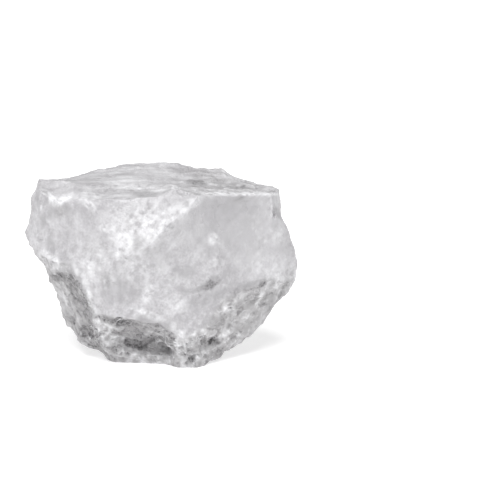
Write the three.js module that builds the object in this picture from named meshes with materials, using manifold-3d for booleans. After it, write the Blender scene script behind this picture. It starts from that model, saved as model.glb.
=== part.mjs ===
// A raw lump of alum: one broken crystal with flat, gently hollow faces, resting on its own flat underside.
// Millimetres. +X is along the longest side, -Y is the front, +Z is up, and the underside rests on z = 0.

import * as THREE from "three";
import { SimplexNoise } from "three/addons/math/SimplexNoise.js";
import { mergeVertices } from "three/addons/utils/BufferGeometryUtils.js";
import Module from "manifold-3d";

// How finely the faces are cut up, and how uneven broken alum is.
const LONGEST_EDGE = 4;
const HOLLOW_REACH = 9;
const RIDGE_WANDER = 0.35;
const WANDER_REACH = 4;
const LUMP_SIZE = 8.5;
const GRAIN_SIZE = 3.4;
const LOOK_DOWN_DEG = 15;
const FRONT_CONTACT_Y = -16;

// Corners of the stone as they are seen from the front and 15 degrees above:
// across from the middle, height in the view above the front contact, and depth (negative is nearer).
const SEEN_CORNERS = {
  crestLeft: [-40.3, 62.7, 4],
  chipBack: [-28.3, 61.7, -2],
  topBreakLeft: [-14.7, 62.7, 4],
  topBreakMid: [0, 62.7, 5],
  topBreakDark: [11, 61.3, 2],
  topBreakRight: [25.3, 61, 3],
  backRise: [-29.3, 63.3, 15.5],
  humpLeft: [-20.7, 66.5, 19.5],
  humpTop: [-7.7, 68.6, 21],
  humpRight: [6.3, 68.8, 22],
  saddle: [12.3, 66.7, 20],
  farKnob: [20.7, 66.5, 20],
  farSlope: [25.3, 63.8, 18],
  backDip: [31.7, 61.7, 15],
  crestRight: [40, 59.7, 7.5],

  browLeft: [-25.3, 56, -12],
  browMid: [-6.7, 56.3, -14],
  browStep: [0.3, 57.3, -14],
  browNotch: [5.3, 59.3, -11],
  browPeak: [12.7, 57.3, -15],
  browRight: [26.7, 57.7, -7.5],
  rimRight: [37.3, 58, -0.5],
  chipLeft: [-39.3, 58, -4],
  crescent: [-33.3, 55, -9.5],

  shoulder: [-42.8, 57, 1],
  shoulderLow: [-43.7, 49.3, 1],
  leftTip: [-45.2, 45.3, 3],
  leftHeel: [-44.4, 41.6, 1],
  rimLow: [-40.3, 52, -4],
  rimFoot: [-41.7, 42.7, -1.5],
  ledgeLeft: [-38.7, 37.3, -5],
  ledgeMid: [-34, 35, -10.5],
  kneeTop: [-28.7, 35.3, -14.5],
  faceFoot: [-13.7, 35.3, -21.5],
  ridgeLow: [-14, 39.7, -20],
  ridgeMid: [-17.7, 46.3, -16.8],
  ridgeTop: [-20.7, 52.7, -13.8],
  triangleFoot: [-10.3, 37.3, -21.5],
  slantLow: [-3.3, 40.7, -20.6],
  slantMid: [2.7, 47.3, -18.3],
  slantTop: [9.3, 52.7, -16.3],

  keelStart: [-38.3, 33.3, -3.5],
  keelLeft: [-34, 32, -9],
  keelKnee: [-29.3, 31.7, -14],
  keelShin: [-24.7, 24, -18],
  keelToe: [-20.7, 17.7, -20],
  recessLeft: [-15.7, 17.3, -22],
  recessBrow: [-8, 16, -23],
  recessRight: [0, 14.7, -23],
  recessCorner: [2.7, 12.3, -23],
  spur: [8, 9.7, -22.5],
  keelRise: [17.7, 14, -18.5],
  keelBank: [25.7, 20.3, -13.5],
  keelEdge: [34, 24, -8.5],
  creaseEnd: [41.7, 28.7, -1],
  creaseRight: [32.7, 29.7, -8],
  creaseMid: [18.7, 29, -14.8],
  creaseLow: [9.3, 25.3, -20],
  breakMid: [19, 42, -12.6],

  stripTop: [37.7, 52.7, -2],
  stripMid: [37, 46, -3.5],
  stripFoot: [41.3, 35.3, -1.5],
  sideTop: [39.7, 52.3, 3.5],
  sideMid: [43.3, 45.3, 1],
  sideLow: [46, 35.3, 3],
  heelRight: [45.3, 29, 4],
  toeRight: [20.7, 3.7, -8],
  flankLow: [27, 8, -4.5],
  flankMid: [33, 12.3, -2],
  flankUp: [37, 18.7, 0.5],
  flankHigh: [41.7, 24.3, 3],

  recessNook: [-13, 10.3, -12],
  recessDeep: [-5.7, 7.3, -6.5],
  recessEnd: [2.7, 6.7, -10.5],
  recessWall: [4.7, 6, -17],
  lipLeft: [-16, 5.7, -12],
  lipMid: [-5.7, 4.3, -12],
  lipRight: [3, 3.7, -13.5],
  cheek: [-22.7, 14.7, -15.5],
  jowl: [-26.3, 14, -10],
  pitLow: [-20.3, 7.7, -13],
  chinLeft: [-26.7, 8.3, -3],
  chin: [-20.9, 5.4, -6],
  underLeft: [-36.7, 27.7, 1],
  underMid: [-33.3, 20, 2],
  underLow: [-31.3, 13.7, 2],
};

// Corners of the underside and of the back, as plain x, y, z.
const PLACED_CORNERS = {
  baseLeft: [-14.6, -8.8, -0.6],
  baseMid: [-5, -9.8, -0.6],
  baseInner: [2, -11, -0.6],
  baseToe: [5.7, -16, -0.4],
  baseToeRight: [12.7, -16, -0.4],
  baseRight: [18, 4, -0.6],
  baseBackRight: [10, 15, -0.6],
  baseBack: [-8, 14, -0.6],
  baseBackLeft: [-17, 6, -0.6],
  midLeft: [-40.5, 16, 45],
  midBackLeft: [-22, 25.5, 47],
  midBack: [2, 29, 33],
  midBackRight: [25, 24.5, 44],
  midRight: [41, 14.5, 31],
  lowLeft: [-28, 12, 17],
  lowBack: [-9, 21, 9],
  lowBackRight: [19, 18, 15],
  lowRight: [33, 11, 16],
};

// The broken faces: corners anticlockwise from outside, how deep the middle is hollowed, how rough it is.
const FACES = [
  // top
  face("crestLeft chipLeft crescent browLeft chipBack", 1.3, 0.25),
  face("crestLeft chipBack topBreakLeft humpLeft backRise", 0.2, 0.4),
  face("chipBack browLeft browMid browStep browNotch topBreakMid topBreakLeft", 0.4, 0.4),
  face("browNotch browPeak browRight rimRight crestRight topBreakRight topBreakDark topBreakMid", 0.3, 0.6),
  face("topBreakLeft topBreakMid humpRight humpTop humpLeft", -0.5, 0.3),
  face("topBreakMid topBreakDark saddle humpRight", 0.9, 0.6),
  face("topBreakDark topBreakRight farSlope farKnob saddle", 0, 0.6),
  face("topBreakRight crestRight backDip farSlope", 0.3, 0.5),
  // left
  face("crestLeft shoulder shoulderLow rimLow chipLeft", 0, 0.3),
  face("shoulderLow leftTip leftHeel rimFoot rimLow", 0, 0.3),
  face(
    `crescent chipLeft rimLow rimFoot ledgeLeft ledgeMid
    kneeTop faceFoot ridgeLow ridgeMid ridgeTop browLeft`,
    0.9,
    0.25,
  ),
  face("rimFoot leftHeel keelStart keelLeft ledgeMid ledgeLeft", 0.3, 0.4),
  face("ledgeMid keelLeft keelKnee kneeTop", 0.3, 0.4),
  // front
  face(
    `browLeft ridgeTop ridgeMid ridgeLow triangleFoot slantLow
    slantMid slantTop browPeak browNotch browStep browMid`,
    0.5,
    0.35,
  ),
  face("browPeak slantTop slantMid slantLow triangleFoot creaseLow creaseMid breakMid", 0.5, 0.3),
  face(
    `ridgeLow faceFoot kneeTop keelKnee keelShin keelToe recessLeft
    recessBrow recessRight recessCorner spur keelRise creaseLow triangleFoot`,
    -0.6,
    0.5,
  ),
  face("creaseLow keelRise keelBank keelEdge creaseEnd creaseRight creaseMid", 0.2, 0.6),
  // right
  face("browPeak breakMid creaseMid creaseRight stripFoot stripMid stripTop rimRight browRight", 0.9, 0.15),
  face("rimRight stripTop sideTop crestRight", 0, 0.3),
  face("stripTop stripMid sideMid sideTop", 0, 0.5),
  face("stripMid stripFoot sideLow sideMid", 0, 0.5),
  face("stripFoot creaseRight creaseEnd heelRight sideLow", 0.2, 0.4),
  // under the right side
  face("spur recessCorner recessWall baseToe baseToeRight toeRight keelRise", 0, 1),
  face("keelRise toeRight flankLow flankMid keelBank", 0.4, 1),
  face("keelBank flankMid flankUp keelEdge", 0.3, 1),
  face("keelEdge flankUp flankHigh heelRight creaseEnd", 0.3, 0.9),
  // the dark recess under the front
  face("recessCorner recessRight recessBrow recessLeft recessNook recessDeep recessEnd recessWall", 1.2, 0.9),
  face("recessNook lipLeft lipMid lipRight recessWall recessEnd recessDeep", 0.3, 0.7),
  face("lipLeft baseLeft baseMid baseInner baseToe recessWall lipRight lipMid", 0, 0.6),
  face("keelToe cheek pitLow lipLeft recessNook recessLeft", 0.2, 0.9),
  face("cheek jowl chinLeft chin pitLow", 0.8, 0.7),
  face("pitLow chin baseLeft lipLeft", 0.2, 0.6),
  // under the left side
  face("keelToe keelShin keelKnee keelLeft keelStart underLeft underMid jowl cheek", 0.9, 0.5),
  face("underMid underLow chinLeft jowl", 0, 0.6),
  // back, upper half from left to right
  face("crestLeft backRise humpLeft midBackLeft midLeft", 0.7, 0.4),
  face("humpLeft humpTop humpRight midBack midBackLeft", 0.9, 0.3),
  face("humpRight saddle farKnob midBackRight midBack", 0.5, 0.5),
  face("farKnob farSlope backDip crestRight midRight midBackRight", 0.8, 0.3),
  // ends
  face("leftTip shoulderLow shoulder crestLeft midLeft", 0.3, 0.4),
  face("underLeft keelStart leftHeel leftTip midLeft lowLeft", 0.6, 0.5),
  face("chinLeft underLow underMid underLeft lowLeft", 0.3, 0.7),
  face("baseLeft chin chinLeft lowLeft baseBackLeft", 0.2, 0.8),
  face("midRight crestRight sideTop sideMid sideLow heelRight", 0.9, 0.4),
  face("midRight heelRight flankHigh flankUp lowRight", 0.4, 0.6),
  face("lowRight flankUp flankMid flankLow toeRight baseRight", 0.4, 0.9),
  face("baseRight toeRight baseToeRight", 0, 0.6),
  // back, lower half from left to right
  face("lowLeft midLeft midBackLeft lowBack", 0.9, 0.5),
  face("lowBack midBackLeft midBack lowBackRight", 0.7, 0.6),
  face("lowBackRight midBack midBackRight midRight lowRight", 0.9, 0.5),
  face("baseBackLeft lowLeft lowBack baseBack", 0.2, 0.8),
  face("baseBack lowBack lowBackRight baseBackRight", 0, 0.8),
  face("baseBackRight lowBackRight lowRight baseRight", 0.3, 0.8),
  // underside
  face("baseLeft baseBackLeft baseBack baseBackRight baseRight baseToeRight baseToe baseInner baseMid", 0, 0),
];

// Small bites out of the ridges and pits in the rough faces:
// the middle, the half sizes, and the turn about x, y and z in radians.
const BITES = [
  { at: [38.8, -1.6, 50], size: [1.7, 2, 3], turn: [0.4, 0.2, 0.3] },
  { at: [-40.3, -4.6, 55], size: [1.3, 1.8, 3.6], turn: [0.2, 0.1, 0.5] },
  { at: [6.5, -13.2, 60.2], size: [4, 2.6, 1.4], turn: [0.3, 0.4, 0.1] },
  { at: [18, -16.2, 9.2], size: [2.4, 2.2, 1.8], turn: [0.2, 0.6, 0.4] },
  { at: [13.8, -19.6, 10.4], size: [1.9, 1.8, 1.6], turn: [0.7, 0.2, 0.1] },
  { at: [10.8, -18.4, 3.4], size: [2.8, 2.6, 1.5], turn: [0.4, 0.7, 0.8] },
  { at: [-23.4, -12.5, 10.6], size: [1.9, 2.2, 4], turn: [0.3, 0.4, 0.2] },
  { at: [-12.3, -19.6, 15.8], size: [2.6, 2.4, 1.8], turn: [0.1, 0.3, 0.5] },
  { at: [41.5, -1.5, 20.4], size: [2, 2, 1.8], turn: [0.2, 0.3, 0.7] },
  { at: [14, 27.5, 47], size: [4, 2, 2.4], turn: [0.1, 0.5, 0.3] },
  { at: [-24, 21, 24], size: [3, 2.4, 2], turn: [0.5, 0.3, 0.2] },
];

function face(names, hollow, grain) {
  return { corners: names.split(/\s+/), hollow, grain };
}

// A repeatable stand-in for chance, so the stone always comes out the same.
function seededRandom(seed) {
  let state = seed;
  return {
    random() {
      state = (state * 16807) % 2147483647;
      return state / 2147483647;
    },
  };
}

// Turns a corner measured in the view into x, y, z.
function placeSeen([across, height, depth]) {
  const tilt = THREE.MathUtils.degToRad(LOOK_DOWN_DEG);
  const z = (height - (depth - FRONT_CONTACT_Y) * Math.sin(tilt)) / Math.cos(tilt);
  return new THREE.Vector3(across, depth, z);
}

// The outward direction of a face that need not be quite flat.
function faceNormal(ring) {
  const normal = new THREE.Vector3();
  ring.forEach((point, i) => {
    normal.add(point.clone().cross(ring[(i + 1) % ring.length]));
  });
  return normal.normalize();
}

// Cuts one face into triangles between its own corners.
function triangulate(ring) {
  const normal = faceNormal(ring);
  const toFlat = new THREE.Quaternion().setFromUnitVectors(normal, new THREE.Vector3(0, 0, 1));
  const flat = ring.map((point) => {
    const turned = point.clone().applyQuaternion(toFlat);
    return new THREE.Vector2(turned.x, turned.y);
  });
  return THREE.ShapeUtils.triangulateShape(flat, []);
}

// The stone as its corners and faces alone.
function buildCage() {
  const names = new Map();
  const points = [];
  const addCorner = (name, point) => names.set(name, points.push(point) - 1);
  Object.entries(SEEN_CORNERS).forEach(([name, seen]) => addCorner(name, placeSeen(seen)));
  Object.entries(PLACED_CORNERS).forEach(([name, xyz]) => addCorner(name, new THREE.Vector3(...xyz)));

  const triangles = [];
  FACES.forEach(({ corners }, faceIndex) => {
    const ids = corners.map((name) => names.get(name));
    const ring = ids.map((id) => points[id]);
    triangulate(ring).forEach(([a, b, c]) => triangles.push({ ids: [ids[a], ids[b], ids[c]], faceIndex }));
  });
  return { points, triangles, names };
}

// The straight sides and the outward direction of every face, before it is cut up.
function faceOutlines({ points, names }) {
  return FACES.map(({ corners }) => {
    const ring = corners.map((name) => points[names.get(name)].clone());
    const sides = ring.map((point, i) => new THREE.Line3(point, ring[(i + 1) % ring.length]));
    return { sides, normal: faceNormal(ring) };
  });
}

// Every edge with its two triangles, keyed by its two ends.
function edgesOf(body) {
  const edges = new Map();
  body.triangles.forEach(({ ids }, t) => {
    ids.forEach((from, i) => {
      const to = ids[(i + 1) % 3];
      const key = Math.min(from, to) + "_" + Math.max(from, to);
      if (!edges.has(key)) {
        edges.set(key, { from, to, length: body.points[from].distanceTo(body.points[to]), triangles: [] });
      }
      edges.get(key).triangles.push(t);
    });
  });
  return [...edges.values()];
}

// Halves the longest edges until none is over LONGEST_EDGE.
function splitLongEdges(body) {
  for (;;) {
    const long = edgesOf(body).filter((edge) => edge.length > LONGEST_EDGE);
    if (!long.length) return;
    long.sort((a, b) => b.length - a.length);
    const used = new Set();
    for (const edge of long) {
      if (edge.triangles.some((t) => used.has(t))) continue;
      edge.triangles.forEach((t) => used.add(t));
      const { from, to } = edge;
      const middle = body.points.push(body.points[from].clone().lerp(body.points[to], 0.5)) - 1;
      edge.triangles.forEach((t) => {
        const { ids, faceIndex } = body.triangles[t];
        body.triangles[t] = { ids: ids.map((id) => (id === from ? middle : id)), faceIndex };
        body.triangles.push({ ids: ids.map((id) => (id === to ? middle : id)), faceIndex });
      });
    }
  }
}

// For each point, the points joined to it, the faces it lies on and its distance in from the nearest ridge.
function surroundings(body) {
  const around = body.points.map(() => ({ joined: new Set(), faces: new Set(), inset: 0 }));
  body.triangles.forEach(({ ids, faceIndex }) => {
    ids.forEach((id) => {
      around[id].faces.add(faceIndex);
      ids.forEach((other) => {
        if (other !== id) around[id].joined.add(other);
      });
    });
  });
  return around;
}

// Draws each face taut over its outline, like a film, so a face with a twist has no folds.
function drawTaut(body, around) {
  for (let pass = 0; pass < 60; pass += 1) {
    around.forEach(({ joined, faces }, id) => {
      if (faces.size > 1) return;
      const middle = new THREE.Vector3();
      joined.forEach((other) => middle.add(body.points[other]));
      body.points[id].copy(middle.divideScalar(joined.size));
    });
  }
}

// Presses the middle of each face in (or, below zero, out), leaving its outline where it is.
function hollowFaces(body, around, outlines) {
  const nearest = new THREE.Vector3();
  around.forEach((place, id) => {
    if (place.faces.size > 1) return;
    const [faceIndex] = place.faces;
    const { sides, normal } = outlines[faceIndex];
    const gaps = sides.map((side) => {
      side.closestPointToPoint(body.points[id], true, nearest);
      return nearest.distanceTo(body.points[id]);
    });
    place.inset = Math.min(...gaps);
    const share = Math.min(1, place.inset / HOLLOW_REACH);
    const depth = FACES[faceIndex].hollow * (1 - (1 - share) ** 2);
    body.points[id].addScaledVector(normal, -depth);
  });
}

// The outward direction at every point, from the triangles round it.
function pointNormals(body) {
  const normals = body.points.map(() => new THREE.Vector3());
  const triangle = new THREE.Triangle();
  const normal = new THREE.Vector3();
  body.triangles.forEach(({ ids }) => {
    triangle.set(...ids.map((id) => body.points[id]));
    triangle.getNormal(normal).multiplyScalar(triangle.getArea());
    ids.forEach((id) => normals[id].add(normal));
  });
  return normals.map((sum) => sum.normalize());
}

// Roughens the faces and lets the ridges wander a little sideways, so that none is ruled straight.
function roughen(body, around) {
  const noise = new SimplexNoise(seededRandom(7431));
  const at = (point, size, shift) => noise.noise3d(point.x / size + shift, point.y / size, point.z / size);
  const normals = pointNormals(body);
  body.points.forEach((point, id) => {
    const faces = [...around[id].faces];
    const grain = faces.reduce((sum, index) => sum + FACES[index].grain, 0) / faces.length;
    const lumps = 0.6 * at(point, LUMP_SIZE, 0) + 0.4 * at(point, GRAIN_SIZE, 40);
    const sideways = new THREE.Vector3(
      at(point, GRAIN_SIZE * 1.6, 10),
      at(point, GRAIN_SIZE * 1.6, 20),
      at(point, GRAIN_SIZE * 1.6, 30),
    );
    const wander = RIDGE_WANDER * Math.max(0, 1 - around[id].inset / WANDER_REACH);
    point.addScaledVector(normals[id], grain * lumps).addScaledVector(sideways, wander);
  });
}

function toGeometry(body) {
  const geometry = new THREE.BufferGeometry().setFromPoints(body.points);
  geometry.setIndex(body.triangles.flatMap(({ ids }) => ids));
  return geometry;
}

function toManifold(wasm, geometry) {
  return new wasm.Manifold(
    new wasm.Mesh({
      numProp: 3,
      vertProperties: new Float32Array(geometry.getAttribute("position").array),
      triVerts: new Uint32Array(geometry.getIndex().array),
    }),
  );
}

function fromManifold(manifold) {
  const mesh = manifold.getMesh();
  const geometry = new THREE.BufferGeometry();
  geometry.setAttribute("position", new THREE.BufferAttribute(mesh.vertProperties, 3));
  geometry.setIndex(new THREE.BufferAttribute(mesh.triVerts, 1));
  return geometry;
}

// The shape of one bite: a small blunt lump, scaled and turned.
function biteGeometry({ at, size, turn }) {
  const lump = new THREE.IcosahedronGeometry(1, 0);
  lump.deleteAttribute("normal");
  lump.deleteAttribute("uv");
  const placed = new THREE.Matrix4().compose(
    new THREE.Vector3(...at),
    new THREE.Quaternion().setFromEuler(new THREE.Euler(...turn)),
    new THREE.Vector3(...size),
  );
  return mergeVertices(lump.applyMatrix4(placed));
}

// Everything below z = 0, which the stone stands on.
function groundGeometry() {
  const ground = new THREE.BoxGeometry(200, 200, 20).translate(0, 0, -10);
  ground.deleteAttribute("normal");
  ground.deleteAttribute("uv");
  return mergeVertices(ground);
}

// The whole stone, set over the middle of its own footprint.
function buildStone(wasm) {
  const body = buildCage();
  const outlines = faceOutlines(body);
  splitLongEdges(body);
  const around = surroundings(body);
  drawTaut(body, around);
  hollowFaces(body, around, outlines);
  roughen(body, around);
  const cutters = BITES.map(biteGeometry).concat(groundGeometry());
  const cut = cutters.reduce(
    (stone, cutter) => stone.subtract(toManifold(wasm, cutter)),
    toManifold(wasm, toGeometry(body)),
  );
  const geometry = fromManifold(cut);
  geometry.computeBoundingBox();
  const { min, max } = geometry.boundingBox;
  return geometry.translate(-(min.x + max.x) / 2, -(min.y + max.y) / 2, -min.z);
}

// Milky, lightly frosted alum.
function alumMaterial() {
  return new THREE.MeshStandardMaterial({ color: "#dcdadb", roughness: 0.55, metalness: 0 });
}

const wasm = await Module();
wasm.setup();

const group = new THREE.Group();
const stone = new THREE.Mesh(buildStone(wasm), alumMaterial());
stone.name = "alum_stone";
group.add(stone);

export default group;
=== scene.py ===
"""A raw lump of milky alum on a pale floor.

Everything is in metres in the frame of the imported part: +X along the stone's longest side,
-Y its front, +Z up.
"""

import math

import bmesh
import bpy
import numpy as np
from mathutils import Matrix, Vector
from mathutils.kdtree import KDTree


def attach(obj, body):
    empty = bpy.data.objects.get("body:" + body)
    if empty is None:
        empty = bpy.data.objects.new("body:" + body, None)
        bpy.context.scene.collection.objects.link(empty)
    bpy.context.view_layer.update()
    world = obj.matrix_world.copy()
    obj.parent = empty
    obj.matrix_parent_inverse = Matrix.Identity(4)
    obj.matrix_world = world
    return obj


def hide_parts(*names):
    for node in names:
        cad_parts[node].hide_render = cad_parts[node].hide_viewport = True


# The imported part
# Its one solid is the raw stone as it broke, and everything below dresses that solid.
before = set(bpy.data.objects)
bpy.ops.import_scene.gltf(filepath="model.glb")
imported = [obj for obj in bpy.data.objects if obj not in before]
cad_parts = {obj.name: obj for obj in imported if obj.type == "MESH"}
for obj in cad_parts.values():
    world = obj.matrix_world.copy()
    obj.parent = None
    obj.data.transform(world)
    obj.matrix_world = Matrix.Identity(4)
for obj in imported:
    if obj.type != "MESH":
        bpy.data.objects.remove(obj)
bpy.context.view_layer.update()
MM = 0.001

# The camera
# It looks along +Y and 15 degrees down through a long lens, and keeps the photograph's framing,
# in which the stone stands left of the middle.
LOOK_DOWN = math.radians(15)
LENS_MM = 700
SENSOR_MM = 36
PICTURE_PIXELS = 500
PIXELS_PER_MM = 3.0
AIM = Vector((29.6, -7.9, 37.7)) * MM


def add_camera():
    data = bpy.data.cameras.new("camera")
    data.lens = LENS_MM
    data.sensor_width = SENSOR_MM
    camera = bpy.data.objects.new("camera", data)
    distance = PICTURE_PIXELS * LENS_MM / (SENSOR_MM * PIXELS_PER_MM) * MM
    back = Vector((0, -math.cos(LOOK_DOWN), math.sin(LOOK_DOWN)))
    camera.location = AIM + back * distance
    camera.rotation_euler = (math.pi / 2 - LOOK_DOWN, 0, 0)
    bpy.context.scene.collection.objects.link(camera)
    bpy.context.scene.camera = camera


add_camera()

# The studio
# A pale floor and an even white surround, with one broad soft light above and in front of the stone.
FLOOR_SIDE = 8.0
FLOOR_COLOUR = (0.8, 0.8, 0.8, 1)
FLOOR_GLOW = 0.48
SURROUND_STRENGTH = 0.455
KEY_STRENGTH = 2.7
KEY_ELEVATION = math.radians(60)
KEY_FROM_LEFT = math.radians(12)
KEY_SPREAD = math.radians(38)


def add_floor():
    material = bpy.data.materials.new("studio_floor")
    material.use_nodes = True
    shader = material.node_tree.nodes["Principled BSDF"]
    shader.inputs["Base Color"].default_value = FLOOR_COLOUR
    shader.inputs["Roughness"].default_value = 0.9
    shader.inputs["Specular IOR Level"].default_value = 0
    shader.inputs["Emission Color"].default_value = (1, 1, 1, 1)
    shader.inputs["Emission Strength"].default_value = FLOOR_GLOW
    mesh = bpy.data.meshes.new("studio_floor")
    half = FLOOR_SIDE / 2
    corners = [(-half, -half, 0), (half, -half, 0), (half, half, 0), (-half, half, 0)]
    mesh.from_pydata(corners, [], [(0, 1, 2, 3)])
    mesh.materials.append(material)
    floor = bpy.data.objects.new("studio_floor", mesh)
    bpy.context.scene.collection.objects.link(floor)


def add_light():
    data = bpy.data.lights.new("key_light", "SUN")
    data.energy = KEY_STRENGTH
    data.angle = KEY_SPREAD
    light = bpy.data.objects.new("key_light", data)
    light.rotation_euler = (math.pi / 2 - KEY_ELEVATION, 0, -KEY_FROM_LEFT)
    bpy.context.scene.collection.objects.link(light)
    world = bpy.data.worlds.new("studio_surround")
    world.use_nodes = True
    background = world.node_tree.nodes["Background"]
    background.inputs["Color"].default_value = (1, 1, 1, 1)
    background.inputs["Strength"].default_value = SURROUND_STRENGTH
    bpy.context.scene.world = world
    bpy.context.scene.view_settings.view_transform = "Standard"


add_floor()
add_light()

# The stone
# One broken crystal of alum: glassy grey faces, white frost along the ridges and on bruised faces,
# and a coarse sugary crust underneath. The fine mesh is the imported solid with its faces smoothed
# between the ridges and that crust worked into it. Its colour also holds painted shade under the
# undercuts, in the recess, the holes and the crust's gaps, and painted light on a few faces and
# ridges.
RIDGE_ANGLE = math.radians(14)
FULL_RIDGE_ANGLE = math.radians(34)
BRUISED_RIDGE_ANGLE = math.radians(24)
RIDGE_STEP = 0.5 * MM
WELD_GAP = 0.002 * MM
SMOOTHING_LEVELS = 2
EASING_ROUNDS = 60

# How wide the blotches in the crystal, the crystals of the crust, the low steps of the faces
# and the streaks are, in mm.
FINE_BLOTCH = 1.4
MIDDLING_BLOTCH = 4.0
BROAD_BLOTCH = 11.0
BLOCK = 4.6
GRAIN = 2.1
SMALL_GRAIN = 1.2
FACE_STEP = 3.4
TOP_STEP = 3.0
STREAK = 1.5
TOP_STREAK = 2.2

# How far the relief of the fine mesh stands out or goes in, in mm.
BLOCK_RELIEF = 0.5
GRAIN_RELIEF = 0.3
SMALL_GRAIN_RELIEF = 0.15
CRUST_SINK = 0.08
FACE_RELIEF = 0.14
FACE_WAVE = 0.09
FACE_RIPPLE = 0.05
TOP_RELIEF = 0.22
CHIP_DEPTH = 0.35
PIT_DEPTH = 1.2

# How far from a ridge its chips and its frost reach, in mm.
CHIP_REACH = 1.0
RIDGE_FROST_REACH = 0.9

# The colours of clear alum, its crust, frosted alum, which also carries the painted light, and
# the dark of cloudy places, which also carries the painted shade in holes, recesses and the gaps
# between crystals, then how fine the material's own grain is and how light passes through it.
CLEAR_ALUM = (0.406, 0.397, 0.412, 1)
CRUST_ALUM = (0.354, 0.345, 0.351, 1)
FROSTED_AND_LIT_ALUM = (0.85, 0.85, 0.867, 1)
SHADE_AND_CLOUD_DARK = (0.128, 0.124, 0.128, 1)
GRAINS_PER_M = 1350
MOTTLES_PER_M = 300
BUMP_STRENGTH = 0.6
BUMP_HEIGHT = 0.35 * MM
ALUM_IOR = 1.456
MILKINESS = 0.2
MILK_DEPTH = 1.2 * MM

# In the front view, across is measured from this far left of the frame's middle,
# and height from the floor at this depth, where the stone's front meets it.
CENTRE_X_MM = 0.43
FRONT_CONTACT_Y_MM = -18.86

# Where the photograph shows bruised, frosted alum, with a few places of painted light among them:
# across and height in the front view in mm, half width and half height in mm, lean in degrees, and
# strength.
FROST_AND_LIGHT_PATCHES = [
    # The frosted triangle and its right edge: frost, and painted light on a face tilted up to the
    # light
    (-3.3, 51.0, 12.0, 5.5, 8, 0.33),
    (-3.3, 46.5, 4.5, 5.5, 0, 0.6),
    (2.0, 47.8, 8.5, 1.9, 46, 0.7),
    (10.0, 54.2, 6.5, 1.6, 38, 0.75),
    (-11.0, 42.0, 3.4, 5.6, -14, 0.48),
    (-17.3, 46.6, 2.6, 1.3, 0, 0.55),
    # The upper left corner and the front edge of the top; the first is frost and a painted highlight
    # on the ridge along the triangle's left edge
    (-24.0, 54.8, 3.0, 1.2, -38, 0.6),
    (-36.0, 56.6, 3.0, 1.2, -40, 1.0),
    (-31.8, 56.1, 3.6, 1.3, 28, 1.0),
    (-28.0, 57.5, 14.0, 1.6, 0, 0.2),
    (-12.0, 59.7, 12.0, 2.0, 0, 0.28),
    # The ridge over the right face, with a painted highlight along it in two thin lines, and one
    # bright crystal below it
    (27.0, 57.9, 14.0, 0.6, 0, 1.0),
    (20.0, 59.3, 9.0, 0.4, -3, 0.5),
    (17.7, 42.7, 1.5, 2.0, -20, 1.0),
    # The right end
    (39.5, 46.3, 1.6, 5.0, -12, 0.28),
    (38.0, 33.5, 6.0, 4.5, 0, 0.35),
    # Round the left undercut, and the crescent down its right side
    (-36.3, 35.9, 3.8, 1.9, -40, 0.8),
    (-34.5, 33.2, 4.0, 1.0, -15, 0.7),
    (-24.9, 26.7, 1.7, 9.5, 25, 0.65),
    (-24.0, 30.5, 4.0, 6.0, 20, 0.35),
    (-32.6, 24.0, 1.8, 5.0, 25, 0.5),
    # The lower middle
    (-4.0, 24.6, 1.5, 4.0, -25, 0.55),
    (-6.5, 32.0, 4.0, 4.0, 0, 0.25),
    (4.7, 20.6, 3.8, 2.8, 0, 0.3),
    (-7.7, 18.9, 3.2, 2.6, 20, 0.45),
    # Round the recess and along its lip
    (-2.5, 17.2, 6.0, 1.2, -20, 0.55),
    (6.5, 11.5, 3.6, 2.0, -30, 0.7),
    (6.0, 7.5, 1.0, 3.6, 10, 0.9),
    (-18.2, 11.4, 3.8, 4.8, 25, 0.95),
    (-7.0, 3.7, 6.0, 1.2, -3, 0.8),
    # A lift of painted light against the shade at the back of the recess.
    (1.0, 8.6, 4.0, 2.6, -10, 0.4),
    # Crystals of the toe and the bank
    (10.3, 8.2, 2.6, 1.6, 30, 0.8),
    (13.0, 5.5, 2.0, 0.9, 45, 0.5),
    (22.5, 20.2, 3.4, 1.3, 30, 0.6),
    (22.0, 11.7, 2.2, 1.2, 30, 0.8),
    (33.0, 24.6, 1.3, 1.2, 0, 0.7),
    (25.0, 20.7, 1.0, 0.8, 30, 0.7),
    (24.6, 15.1, 0.9, 0.8, 0, 0.6),
    (26.3, 10.9, 0.8, 0.7, 0, 0.6),
]
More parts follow.
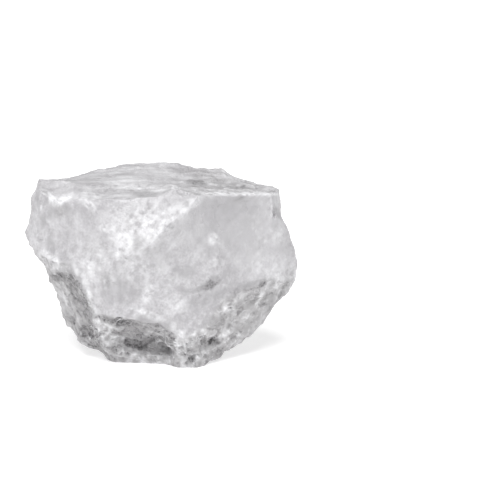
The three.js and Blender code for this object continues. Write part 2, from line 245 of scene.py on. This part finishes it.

# Cloudy, darker places, given in the same way. Some of them are painted shade: behind a step on
# the top, in the recess, under the left undercut and on the chin under it.
SHADE_AND_CLOUD_PATCHES = [
    # The top
    (-5.0, 57.8, 3.4, 1.0, 0, 0.8),
    (-5.0, 65.0, 12.0, 2.0, 0, 0.12),
    # A painted shadow behind a low step at the front of the top.
    (11.9, 61.8, 2.6, 0.9, 0, 1.3),
    (14.5, 61.2, 1.2, 0.5, 0, 1.4),
    (10.0, 62.6, 1.0, 0.4, 0, 1.0),
    (20.7, 60.2, 1.8, 0.8, 0, 0.6),
    (26.0, 60.0, 5.0, 0.7, -3, 0.7),
    # The left face
    (-36.3, 41.0, 1.3, 2.4, 15, 0.5),
    (-39.0, 48.7, 1.1, 1.8, 0, 0.5),
    (-40.6, 54.5, 0.6, 3.6, 6, 0.5),
    (-35.7, 51.0, 1.4, 2.6, 0, 0.4),
    (-30.7, 52.7, 1.4, 2.3, 0, 0.35),
    # Along and below the frosted triangle
    (8.9, 54.6, 0.8, 1.0, 0, 0.9),
    (4.2, 47.0, 0.9, 0.9, 0, 0.8),
    (5.8, 48.6, 0.7, 1.0, 0, 0.6),
    (-6.0, 41.0, 3.4, 3.6, -10, 0.3),
    (-0.5, 38.5, 6.0, 4.5, 0, 0.25),
    # The right faces and the dark spot low on them
    (20.0, 50.0, 17.0, 11.0, 0, 0.3),
    (39.3, 51.7, 0.7, 3.2, 28, 0.7),
    (41.0, 46.0, 3.0, 8.0, 0, 0.25),
    (8.0, 42.0, 10.0, 8.0, 0, 0.14),
    (33.0, 37.0, 9.0, 6.0, 0, 0.1),
    (16.5, 38.5, 0.9, 3.4, -30, 0.35),
    (8.3, 32.0, 3.8, 2.4, -20, 0.4),
    (17.2, 28.0, 3.4, 1.7, 35, 1.5),
    (17.0, 24.0, 8.0, 2.6, 25, 0.3),
    (13.0, 26.2, 2.0, 0.7, 30, 0.8),
    (8.8, 25.7, 1.5, 0.6, 0, 0.5),
    # The lower middle
    (-14.0, 26.0, 6.0, 5.0, -20, 0.35),
    (-17.5, 29.0, 1.0, 2.8, 15, 0.9),
    # The recess and its lip: darker alum, and painted shade under the overhang
    (-4.0, 11.9, 11.0, 5.0, -12, 0.7),
    (-13.6, 15.3, 5.0, 1.8, -6, 1.4),
    (-4.0, 14.4, 4.5, 1.0, -10, 0.9),
    (2.3, 11.7, 1.4, 2.6, 0, 0.7),
    (-9.0, 7.6, 5.0, 1.7, -12, 1.3),
    (-13.0, 6.8, 2.8, 1.5, -10, 1.1),
    (4.0, 8.0, 1.4, 4.2, 5, 1.1),
    (0.6, 4.6, 3.2, 1.9, -8, 0.6),
    (-0.5, 4.2, 3.0, 1.1, -5, 0.4),
    (-10.7, 4.9, 0.7, 1.4, 0, 0.9),
    (-6.4, 4.2, 0.7, 1.2, 0, 0.9),
    # The left undercut: painted shade under the ledge and on the facet below it
    (-31.6, 30.0, 4.2, 1.6, -6, 1.6),
    (-27.6, 25.5, 2.7, 9.0, 28, 1.5),
    (-29.0, 26.0, 6.0, 9.0, 28, 0.4),
    (-25.0, 20.6, 1.7, 4.8, 15, 1.8),
    (-28.0, 18.5, 4.5, 4.5, 20, 0.45),
    (-23.6, 18.8, 1.6, 2.6, 20, 1.2),
    (-29.5, 15.4, 1.1, 1.7, 20, 1.0),
    # The chin under it: painted shade on its downward facet
    (-23.8, 11.2, 2.8, 4.4, 40, 1.6),
    (-21.8, 7.6, 2.6, 1.9, 40, 1.2),
    (-25.0, 10.0, 5.0, 6.0, 40, 0.5),
    (-16.0, 6.1, 3.8, 1.2, -22, 1.1),
    (-18.5, 4.5, 4.0, 1.2, -20, 0.5),
    # The toe
    (7.4, 6.5, 1.4, 1.8, 0, 1.0),
    (10.8, 2.5, 2.8, 1.1, 45, 0.9),
    (13.6, 4.4, 2.0, 1.5, 0, 0.8),
    (14.7, 9.6, 1.1, 1.6, 0, 0.8),
    (18.2, 8.7, 1.5, 1.5, 0, 1.0),
    (12.0, 6.0, 7.0, 5.0, 0, 0.45),
    # The bank on the right
    (17.0, 14.5, 5.0, 2.0, 35, 0.35),
    (27.0, 21.0, 7.0, 2.0, 35, 0.35),
    (28.7, 20.0, 5.6, 0.6, 36, 0.75),
    (31.0, 27.3, 8.0, 1.6, 12, 0.45),
    (31.0, 15.0, 9.0, 2.4, 42, 0.45),
    (36.5, 24.5, 4.0, 1.6, 15, 0.45),
    (41.0, 24.3, 1.6, 1.8, 20, 0.8),
]

# Smooth places with little grain, given in the same way.
GLASSY_PATCHES = [
    # The right faces, the top and the left face
    (24.5, 50.5, 15.0, 11.0, 0, 0.85),
    (33.0, 37.0, 10.0, 8.0, 0, 0.6),
    (-5.0, 63.0, 42.0, 6.5, 0, 0.45),
    (-28.0, 48.0, 11.0, 9.0, 0, 0.3),
    # The left undercut and the bank
    (-31.0, 23.0, 5.0, 12.0, 28, 0.6),
    (35.0, 16.0, 10.0, 8.0, 40, 0.5),
]

# Upper edge of the underside's crust where it reaches round to the front: across and height
# in the front view in mm.
CRUST_EDGE = [
    (-45, 39),
    (-39, 33),
    (-30, 30.2),
    (-22.7, 17.5),
    (-17.3, 16.5),
    (-3.3, 13.8),
    (3.5, 8),
    (6.7, 9.6),
    (11, 11.3),
    (15.7, 14.9),
    (21.3, 24.6),
    (28.7, 26.6),
    (34, 29.6),
    (43, 30.3),
]

# Holes between the crystals of the underside, given in the same way as the frosted places. They
# are sunk into the mesh and also painted dark, a painted shade inside them.
PITS = [
    # The recess
    (-12.2, 14.7, 1.8, 1.2, 0, 0.6),
    (-8.0, 7.9, 3.8, 1.2, -15, 0.8),
    # The toe and the bank
    (3.6, 6.0, 1.0, 1.8, 0, 0.5),
    (18.2, 8.8, 1.4, 1.2, 0, 1.0),
    (14.7, 9.7, 0.9, 1.2, 0, 0.7),
    (10.8, 2.7, 2.4, 0.9, 45, 0.9),
    (15.2, 4.0, 0.9, 0.8, 0, 0.6),
    (41.0, 24.3, 1.4, 1.6, 20, 0.8),
    (34.0, 26.0, 0.8, 2.2, 0, 0.5),
    (26.0, 24.5, 1.0, 1.8, 0, 0.4),
    # Under the left undercut
    (-24.0, 11.6, 1.6, 2.6, 40, 0.7),
    (-29.6, 15.6, 0.9, 1.3, 0, 0.8),
]


def welded_shape(cad_mesh):
    """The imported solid's mesh for editing, with the corners of neighbouring triangles joined."""
    shape = bmesh.new()
    shape.from_mesh(cad_mesh)
    bmesh.ops.remove_doubles(shape, verts=shape.verts, dist=WELD_GAP)
    return shape


def smoothed_mesh(cad_mesh):
    """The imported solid's mesh with its faces smoothed between the ridges, which stay creased."""
    shape = welded_shape(cad_mesh)
    crease = shape.edges.layers.float.new("crease_edge")
    for edge in shape.edges:
        bend = edge.calc_face_angle(0)
        edge[crease] = min(1, max(0, (bend - RIDGE_ANGLE) / (FULL_RIDGE_ANGLE - RIDGE_ANGLE)))
    coarse = bpy.data.meshes.new("coarse_stone")
    shape.to_mesh(coarse)
    shape.free()
    carrier = bpy.data.objects.new("coarse_stone", coarse)
    bpy.context.scene.collection.objects.link(carrier)
    smoothing = carrier.modifiers.new("smoothing", "SUBSURF")
    smoothing.levels = SMOOTHING_LEVELS
    smoothing.render_levels = SMOOTHING_LEVELS
    bpy.context.view_layer.update()
    smoothed = carrier.evaluated_get(bpy.context.evaluated_depsgraph_get())
    fine = bpy.data.meshes.new_from_object(smoothed)
    bpy.data.objects.remove(carrier)
    bpy.data.meshes.remove(coarse)
    fine.name = "stone_surface"
    return fine


def ridge_points(cad_mesh):
    """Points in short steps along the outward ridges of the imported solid."""
    shape = welded_shape(cad_mesh)
    points = []
    for edge in shape.edges:
        if edge.calc_face_angle_signed(0) < BRUISED_RIDGE_ANGLE:
            continue
        start, end = (vert.co for vert in edge.verts)
        steps = max(1, int((end - start).length / RIDGE_STEP))
        points.extend(start.lerp(end, step / steps) for step in range(steps))
    shape.free()
    return points


def gap_to(points, places):
    """Distance from each place to the nearest of the points, in mm."""
    tree = KDTree(len(points))
    for index, point in enumerate(points):
        tree.insert(point, index)
    tree.balance()
    return np.array([tree.find(place)[2] for place in places]) / MM


def scatter(cells, seed):
    """A repeatable value from 0 to 1 for each whole-number cell, mixed by large odd numbers."""
    x, y, z = (cells[:, axis].astype(np.int64) for axis in range(3))
    mixed = (x * 73856093) ^ (y * 19349663) ^ (z * 83492791) ^ (seed * 2654435761)
    mixed = (mixed ^ (mixed >> 13)) * 1274126177
    return ((mixed ^ (mixed >> 16)) & 0xFFFF) / 0xFFFF


def soft_noise(places, size, seed):
    """Smooth noise from -1 to 1 whose bumps are about that many mm across."""
    scaled = places / size
    cell = np.floor(scaled)
    part = scaled - cell
    blend = part * part * (3 - 2 * part)
    total = np.zeros(len(places))
    for corner in np.ndindex(2, 2, 2):
        weight = np.prod(np.where(corner, blend, 1 - blend), axis=1)
        total += weight * scatter(cell + corner, seed)
    return total * 2 - 1


def mottling(places, size, seed):
    """Noise from about -1 to 1 with bumps of that many mm and finer ones on top of them."""
    total = soft_noise(places, size, seed)
    total += 0.6 * soft_noise(places, size / 2.1, seed + 1)
    total += 0.4 * soft_noise(places, size / 4.3, seed + 2)
    return total / 1.3


def crystal_crust(places, size, seed):
    """Height from -1 to 1 of a crust of small tilted crystal faces about that many mm across."""
    scaled = places / size
    home = np.floor(scaled)
    nearest = np.full(len(places), np.inf)
    height = np.zeros(len(places))
    for step in np.ndindex(3, 3, 3):
        cell = home + np.array(step) - 1
        seat = cell + np.stack([scatter(cell, seed + axis) for axis in range(3)], axis=1)
        away = scaled - seat
        gap = np.linalg.norm(away, axis=1)
        slope = np.stack([scatter(cell, seed + 3 + axis) for axis in range(3)], axis=1) * 2 - 1
        tilted = np.sum(away * slope, axis=1) + 0.6 * (scatter(cell, seed + 6) - 0.5)
        closer = gap < nearest
        height[closer] = tilted[closer]
        nearest[closer] = gap[closer]
    return np.clip(height, -1, 1)


def rise(values, low, high):
    """0 below low, 1 above high, and a smooth step between."""
    share = np.clip((values - low) / (high - low), 0, 1)
    return share * share * (3 - 2 * share)


def seen_from_front(places):
    """Across and height of each place, in mm, as the front view 15 degrees down shows them."""
    across = places[:, 0] + CENTRE_X_MM
    height = places[:, 2] * math.cos(LOOK_DOWN)
    height = height + (places[:, 1] - FRONT_CONTACT_Y_MM) * math.sin(LOOK_DOWN)
    return across, height


def patch_strength(places, patches, edge_noise):
    """How strongly the patches cover each place; their edges are broken up by the noise."""
    across, height = seen_from_front(places)
    total = np.zeros(len(places))
    for centre, level, half_width, half_height, lean, strength in patches:
        turn = math.radians(lean)
        right, up = across - centre, height - level
        along = (right * math.cos(turn) + up * math.sin(turn)) / half_width
        over = (up * math.cos(turn) - right * math.sin(turn)) / half_height
        reach = along**2 + over**2
        total = np.maximum(total, strength * (1 - rise(reach + 0.9 * edge_noise, 0.0, 2.2)))
    return total


def front_of(normals):
    """1 on the sides that the front view shows, 0 on the rest."""
    towards = math.sin(LOOK_DOWN) * normals[:, 2] - math.cos(LOOK_DOWN) * normals[:, 1]
    return rise(towards, -0.05, 0.15)


def below_crust_edge(places, edge_noise):
    """1 under the crust's upper edge in the front view, 0 well above it."""
    across, height = seen_from_front(places)
    edge_across, edge_height = zip(*CRUST_EDGE)
    depth = np.interp(across, edge_across, edge_height) - height
    return rise(depth + 1.2 * edge_noise, -1.0, 2.0)


def eased_directions(mesh, normals):
    """The normals evened out over their neighbours, so that points moved along them don't cross."""
    ends = np.empty(len(mesh.edges) * 2, dtype=np.int32)
    mesh.edges.foreach_get("vertices", ends)
    first, second = ends.reshape(-1, 2).T
    points = np.concatenate((first, second))
    neighbours = np.concatenate((second, first))
    for _ in range(EASING_ROUNDS):
        sums = [np.bincount(points, normals[neighbours, axis], len(normals)) for axis in range(3)]
        normals = normals + np.stack(sums, axis=1)
        normals /= np.linalg.norm(normals, axis=1)[:, None]
    return normals


def point_vectors(points, name):
    """One vector for each point of a mesh, as rows of an array."""
    values = np.empty(len(points) * 3)
    points.foreach_get(name, values)
    return values.reshape(-1, 3)


class BrokenSurface:
    """What is known of every point of the smoothed mesh: its place in mm, the way it faces,
    and the blotches, crystals and holes around it. Each pattern's last number is its own seed."""

    def __init__(self, mesh, cad_mesh):
        places_in_metres = point_vectors(mesh.vertices, "co")
        places = places_in_metres / MM
        self.places = places
        self.normals = point_vectors(mesh.vertex_normals, "vector")
        self.ridge_gap = gap_to(ridge_points(cad_mesh), places_in_metres)
        self.in_front = front_of(self.normals)
        self.facing_down = rise(-self.normals[:, 2], 0.05, 0.4)
        self.facing_up = rise(self.normals[:, 2], 0.6, 0.9)
        self.fine = mottling(places, FINE_BLOTCH, 11)
        self.middling = mottling(places, MIDDLING_BLOTCH, 14)
        self.broad = mottling(places, BROAD_BLOTCH, 17)
        self.blocks = crystal_crust(places, BLOCK, 21)
        self.grains = crystal_crust(places, GRAIN, 31)
        self.small_grains = crystal_crust(places, SMALL_GRAIN, 41)
        self.edge_noise = self.middling + 0.8 * self.fine
        self.pits = self.in_front * patch_strength(places, PITS, self.fine)
        glassy = patch_strength(places, GLASSY_PATCHES, 0.3 * self.edge_noise)
        self.grainy = 1 - self.in_front * glassy
        self.crust = self.crust_cover()

    def crust_cover(self):
        """1 under the sugary crust: underneath, in patches, and on top at the right."""
        cover = self.facing_down + 0.3 * rise(self.middling + self.broad, 0.2, 1.0)
        cover += self.facing_up * (0.25 + 0.5 * rise(self.places[:, 0], 2, 20))
        low = below_crust_edge(self.places, self.middling + self.fine)
        return np.clip(np.maximum(cover, 0.85 * self.in_front * low), 0, 1)

    def near_ridge(self, reach):
        """1 on the ridges, falling to nearly 0 at twice that many mm from them."""
        return np.exp(-((self.ridge_gap / reach) ** 2))

    def relief(self):
        """How far each point stands out, in mm. Nothing moves at the flat face that it rests on."""
        face_steps = crystal_crust(self.places, FACE_STEP, 51)
        long_steps = crystal_crust(self.places * (0.4, 1, 1), TOP_STEP, 71)
        grains = GRAIN_RELIEF * self.grains + SMALL_GRAIN_RELIEF * self.small_grains
        heights = self.crust * (BLOCK_RELIEF * self.blocks + self.grainy * grains - CRUST_SINK)
        smooth = FACE_RELIEF * face_steps + FACE_WAVE * self.middling + FACE_RIPPLE * self.fine
        heights += (1 - self.crust) * smooth
        heights += self.facing_up * TOP_RELIEF * long_steps
        chips = rise(self.middling + self.fine, 0.0, 1.0) * self.near_ridge(CHIP_REACH)
        heights -= CHIP_DEPTH * chips + PIT_DEPTH * self.pits
        return heights * rise(self.places[:, 2], 0.2, 1.2)

    def streaks(self):
        """Faint growth lines on the sides, upright at the left and slanting at the right."""
        along, back, up = self.places.T
        lean = rise(along, -6, 4)
        upright = mottling(self.places * (1, 1, 0.25), STREAK, 61)
        slanted_places = np.column_stack((0.2 * (along + up), back, 0.7 * (up - along)))
        slanted = mottling(slanted_places, STREAK, 62)
        return (upright * (1 - lean) + slanted * lean) * (1 - self.facing_up)

    def frost_and_light(self):
        """How white and matt each point is: bruised places, ridges, streaks, bright crystals and
        painted light.
        """
        level_streaks = mottling(self.places * (0.18, 1, 1), TOP_STREAK, 64) * self.facing_up
        # Bruised patches, and a few of painted light.
        bruised_and_lit = self.in_front * patch_strength(self.places, FROST_AND_LIGHT_PATCHES, self.edge_noise)
        bruised_and_lit *= 0.6 + 0.85 * self.fine + 0.2 * self.middling
        bruised_and_lit *= 1 - 0.5 * self.facing_down
        bruised_ridge = rise(self.fine + self.middling, -0.5, 1.2)
        bruised_ridge *= self.near_ridge(RIDGE_FROST_REACH)
        frost_and_light = np.maximum(bruised_and_lit, 0.25 * bruised_ridge)
        frost_and_light += 0.17 + 0.11 * self.facing_up + 0.3 * level_streaks
        frost_and_light += self.grainy * (0.17 * self.streaks() + 0.14 * self.fine)
        frost_and_light += 0.06 * self.middling + 0.11 * self.broad
        bright_crystals = 0.3 * rise(self.fine + 0.4 * self.middling, 0.1, 1.2)
        bright_crystals += 0.2 * rise(self.small_grains, 0.1, 0.9)
        bright_crystals += 0.2 * rise(self.blocks, 0.1, 0.9)
        return np.clip(frost_and_light + self.crust * bright_crystals, 0, 1)

    def shade_and_cloud(self):
        """How dark each point is: cloudy places, some of them painted shade, and painted shade in the
        holes and in the gaps between the crust's crystals.
        """
        # Cloudy patches, some of them painted shade.
        shade_and_cloud = self.in_front * patch_strength(self.places, SHADE_AND_CLOUD_PATCHES, self.edge_noise)
        shade_and_cloud *= 0.65 + 0.6 * self.fine + 0.3 * self.middling
        shade_and_cloud *= 1 - self.crust * (0.4 * self.blocks + 0.6 * self.grains + 0.3 * self.small_grains)
        # Painted shade in the holes.
        shade_and_cloud = np.maximum(shade_and_cloud, self.pits * (0.6 + 0.7 * self.fine))
        # Painted shade in the low gaps between the crust's crystals, where its relief sinks, and
        # darker blotches.
        gap_shade_and_blotches = 0.45 * rise(-self.fine - 0.4 * self.middling, 0.0, 1.2)
        gap_shade_and_blotches += 0.35 * rise(-self.grains, 0.1, 0.9)
        gap_shade_and_blotches += 0.2 * rise(-self.blocks, 0.1, 0.9)
        return np.clip(shade_and_cloud + self.crust * gap_shade_and_blotches, 0, 1)


def stone_mesh(cad_mesh):
    """The stone's fine mesh, with its relief, and the values that its material reads at each point."""
    mesh = smoothed_mesh(cad_mesh)
    surface = BrokenSurface(mesh, cad_mesh)
    directions = eased_directions(mesh, surface.normals)
    moved = surface.places + directions * surface.relief()[:, None]
    moved[:, 2] = np.maximum(moved[:, 2], 0)
    mesh.vertices.foreach_set("co", (moved * MM).ravel())
    mesh.update()
    # Of these layers, the whitening one also carries painted light and the darkening one painted
    # shade.
    layers = {
        "frost_and_light": surface.frost_and_light(),
        "shade_and_cloud": surface.shade_and_cloud(),
        "crust": surface.crust,
        "grainy": surface.grainy,
    }
    for name, values in layers.items():
        layer = mesh.attributes.new(name, "FLOAT", "POINT")
        layer.data.foreach_set("value", values.astype(np.float32))
    return mesh


class Wire:
    """One socket of a shader tree. Arithmetic on it adds Math nodes."""

    def __init__(self, tree, socket):
        self.tree = tree
        self.socket = socket

    @classmethod
    def node(cls, tree, kind, output, settings, sockets):
        """Adds a node, sets it, fills or links its sockets, and returns a wire from one output."""
        made = tree.nodes.new(kind)
        for name, value in settings.items():
            setattr(made, name, value)
        for socket in made.inputs:
            if socket.identifier in sockets:
                plug(tree, socket, sockets[socket.identifier])
        return cls(tree, next(socket for socket in made.outputs if socket.identifier == output))

    def maths(self, operation, *others):
        sockets = dict(zip(("Value", "Value_001"), (self, *others)))
        return Wire.node(self.tree, "ShaderNodeMath", "Value", {"operation": operation}, sockets)

    def __add__(self, other):
        return self.maths("ADD", other)

    def __mul__(self, other):
        return self.maths("MULTIPLY", other)

    def __sub__(self, other):
        return self.maths("SUBTRACT", other)

    def __rsub__(self, other):
        return (self * -1) + other

    __radd__ = __add__
    __rmul__ = __mul__

    def clamped(self):
        return self.maths("MAXIMUM", 0).maths("MINIMUM", 1)


def plug(tree, socket, value):
    """Links a Wire to the socket, or sets a plain value on it."""
    if isinstance(value, Wire):
        tree.links.new(value.socket, socket)
    else:
        socket.default_value = value


def alum_material():
    """Milky crystal: light soaks in a little everywhere, bruised faces are white and matt, and the
    mesh's layers lay painted light and painted shade into its colour.
    """
    material = bpy.data.materials.new("alum")
    material.use_nodes = True
    tree = material.node_tree
    shader = tree.nodes["Principled BSDF"]

    def layer(name):
        return Wire.node(tree, "ShaderNodeAttribute", "Fac", {"attribute_name": name}, {})

    def noise(scale, detail):
        place = Wire.node(tree, "ShaderNodeTexCoord", "Object", {}, {})
        sockets = {"Vector": place, "Scale": scale, "Detail": detail}
        return Wire.node(tree, "ShaderNodeTexNoise", "Fac", {}, sockets)

    def mix(share, low, high):
        sockets = {"Factor_Float": share, "A_Color": low, "B_Color": high}
        return Wire.node(tree, "ShaderNodeMix", "Result_Color", {"data_type": "RGBA"}, sockets)

    # The whitening layer brings frost and painted light, the darkening one clouds and painted shade.
    frost_and_light = layer("frost_and_light")
    shade_and_cloud = layer("shade_and_cloud")
    crust = layer("crust")
    grainy = layer("grainy")
    grain = noise(GRAINS_PER_M, 3)
    mottle = noise(MOTTLES_PER_M, 5)
    whiteness = (frost_and_light + grainy * ((mottle - 0.5) * 0.45 + (grain - 0.5) * 0.6)).clamped()
    body = mix(crust, CLEAR_ALUM, CRUST_ALUM)
    milk = mix(whiteness, body, FROSTED_AND_LIT_ALUM)
    speckle = ((grain - 0.5) * 5 + 0.5).clamped()
    shade_and_cloudiness = shade_and_cloud * ((speckle - 0.5) * grainy * 0.45 + 0.74)
    dark_grain = crust * grainy * ((grain - 0.52) * 2).clamped() * 0.5
    darkness = (shade_and_cloudiness + dark_grain).clamped()
    plug(tree, shader.inputs["Base Color"], mix(darkness, milk, SHADE_AND_CLOUD_DARK))
    plug(tree, shader.inputs["Roughness"], 0.34 + frost_and_light * 0.35 + crust * 0.2)
    height = grainy * (grain * (0.3 + frost_and_light * 0.3 + crust * 0.5) + mottle * 0.8)
    bump_sockets = {"Strength": BUMP_STRENGTH, "Distance": BUMP_HEIGHT, "Height": height}
    plug(tree, shader.inputs["Normal"], Wire.node(tree, "ShaderNodeBump", "Normal", {}, bump_sockets))
    shader.inputs["IOR"].default_value = ALUM_IOR
    shader.inputs["Specular IOR Level"].default_value = 0.5
    shader.inputs["Subsurface Weight"].default_value = MILKINESS
    shader.inputs["Subsurface Radius"].default_value = (1.0, 1.0, 1.0)
    shader.inputs["Subsurface Scale"].default_value = MILK_DEPTH
    return material


def add_stone():
    mesh = stone_mesh(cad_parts["alum_stone"].data)
    mesh.materials.clear()
    mesh.materials.append(alum_material())
    stone = bpy.data.objects.new("stone_surface", mesh)
    bpy.context.scene.collection.objects.link(stone)
    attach(stone, "root")
    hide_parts("alum_stone")


add_stone()
